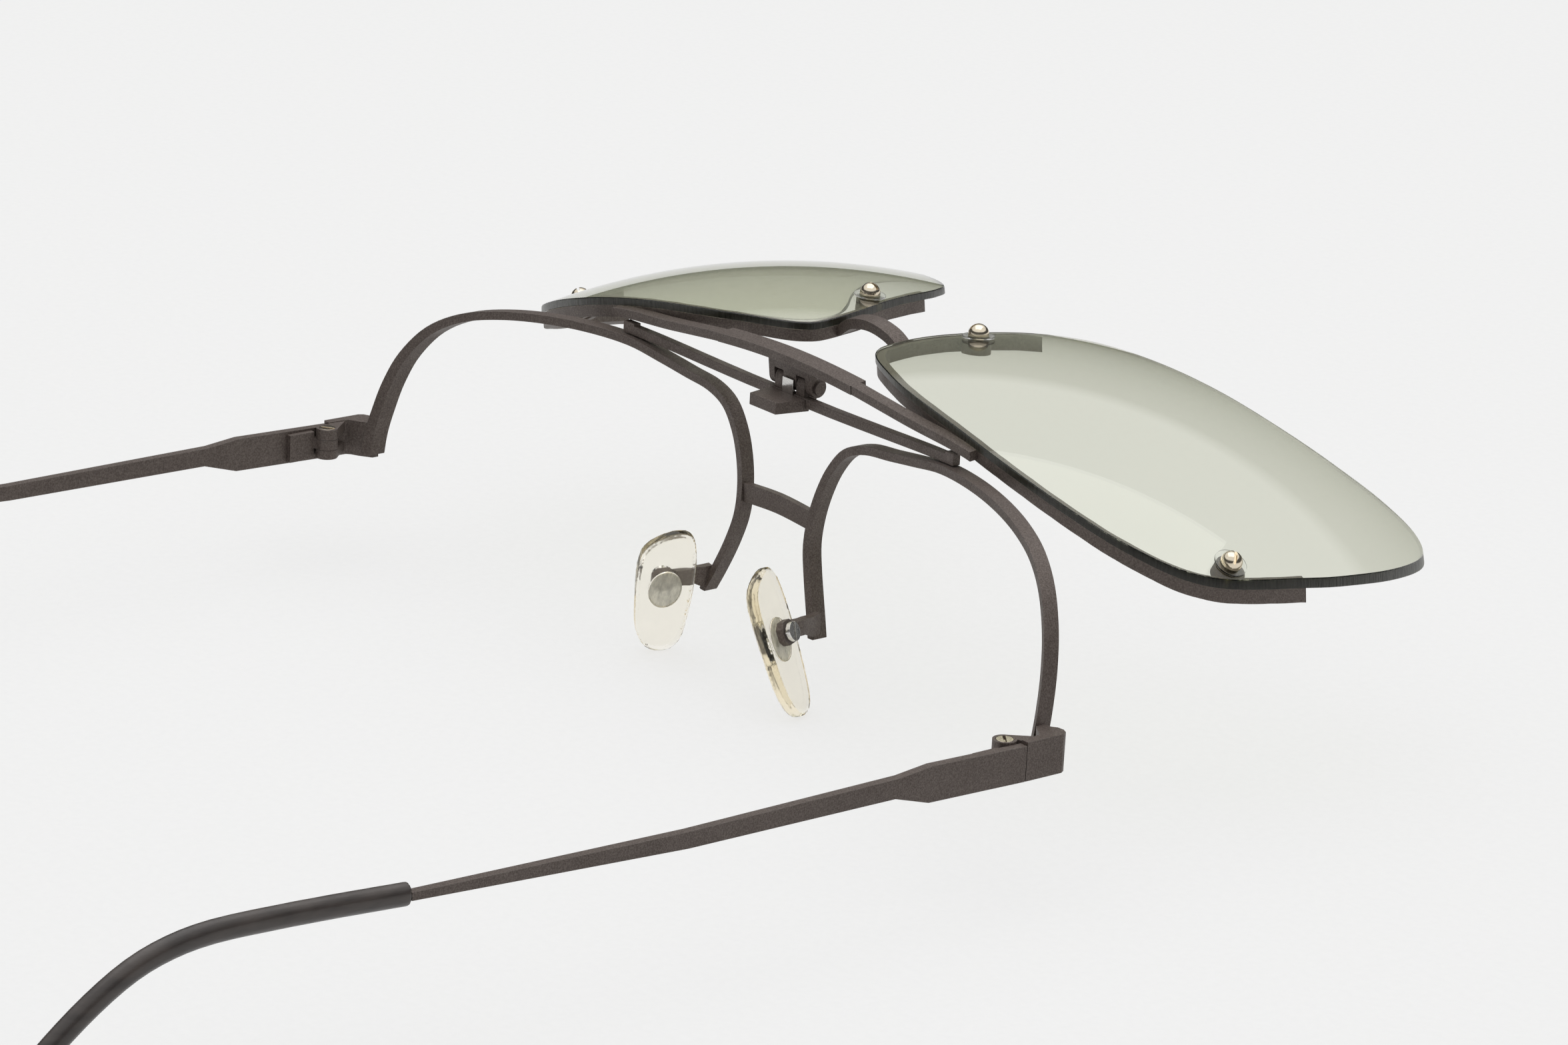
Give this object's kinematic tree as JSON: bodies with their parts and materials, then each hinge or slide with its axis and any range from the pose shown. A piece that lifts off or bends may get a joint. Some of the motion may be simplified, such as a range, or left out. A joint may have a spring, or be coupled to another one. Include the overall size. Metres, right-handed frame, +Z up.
{
  "type": "flip up sunglasses",
  "caption": "Metal half rim glasses frame with a pair of tinted lenses on a bridge hinge, standing flipped up, with folding temples and clear nose pads.",
  "frame": {"origin": "on the ground under the middle of the whole, halfway between the flipped up lenses' front ends and the temple tips' ends", "axes": "+X to the wearer's left, +Y back along the temples, +Z up"},
  "size_m": [0.1372, 0.2068, 0.0442],
  "materials": {
    "grey_metal": "matte lacquer",
    "tip_plastic": "satin",
    "screw_gold": "polished pale gold plating",
    "polished_steel": "polished",
    "pad_soft_plastic": "soft clear plastic",
    "pad_core_plastic": "clear",
    "tinted_lens": "polished tinted plastic",
    "clear_washer": "clear"
  },
  "bodies": {
    "frame": {"rim_left": "grey_metal", "rim_right": "grey_metal", "bridge": "grey_metal", "brow_bar": "grey_metal", "hinge_block": "grey_metal", "flip_hinge_base": "grey_metal", "flip_hinge_pin": "grey_metal", "detent_spring": "polished_steel", "endpiece_left": "grey_metal", "endpiece_right": "grey_metal", "temple_screw_left": "screw_gold", "temple_screw_right": "screw_gold", "pad_arm_left": "grey_metal", "pad_arm_right": "grey_metal"},
    "temple_left": {"temple_left": "grey_metal", "temple_leaf_left": "grey_metal", "temple_tip_left": "tip_plastic"},
    "temple_right": {"temple_right": "grey_metal", "temple_leaf_right": "grey_metal", "temple_tip_right": "tip_plastic"},
    "pad_left": {"nose_pad_left": "pad_soft_plastic", "pad_core_left": "pad_core_plastic", "pad_screw_left": "polished_steel"},
    "pad_right": {"nose_pad_right": "pad_soft_plastic", "pad_core_right": "pad_core_plastic", "pad_screw_right": "polished_steel"},
    "clip": {"clip_bar": "grey_metal", "clip_hinge_leaf": "grey_metal", "clip_bridge": "grey_metal", "clip_band_left": "grey_metal", "clip_band_right": "grey_metal", "sun_lens_left": "tinted_lens", "sun_lens_right": "tinted_lens", "nose_lens_screw_left": "screw_gold", "nose_lens_screw_right": "screw_gold", "side_lens_screw_left": "screw_gold", "side_lens_screw_right": "screw_gold", "nose_lens_washer_left": "clear_washer", "nose_lens_washer_right": "clear_washer", "side_lens_washer_left": "clear_washer", "side_lens_washer_right": "clear_washer"}
  },
  "joints": [
    {"name": "clip_flip", "type": "hinge", "parent": "frame", "child": "clip", "pos_m": [0, -0.05204, 0.0372], "axis": [1, 0, 0], "range_deg": [0, 94]},
    {"name": "temple_fold_left", "type": "hinge", "parent": "frame", "child": "temple_left", "pos_m": [0.066, -0.02954, 0.0147], "axis": [0, 0, 1], "range_deg": [0, 92]},
    {"name": "temple_fold_right", "type": "hinge", "parent": "frame", "child": "temple_right", "pos_m": [-0.066, -0.02954, 0.0147], "axis": [0, 0, -1], "range_deg": [0, 86]},
    {"name": "pad_swivel_left", "type": "hinge", "parent": "frame", "child": "pad_left", "pos_m": [0.01213, -0.04227, 0.01047], "axis": [0.8607, -0.3683, 0.3514], "range_deg": [-7, 7]},
    {"name": "pad_swivel_right", "type": "hinge", "parent": "frame", "child": "pad_right", "pos_m": [-0.01213, -0.04227, 0.01047], "axis": [-0.8607, -0.3683, 0.3514], "range_deg": [-7, 7]}
  ]
}
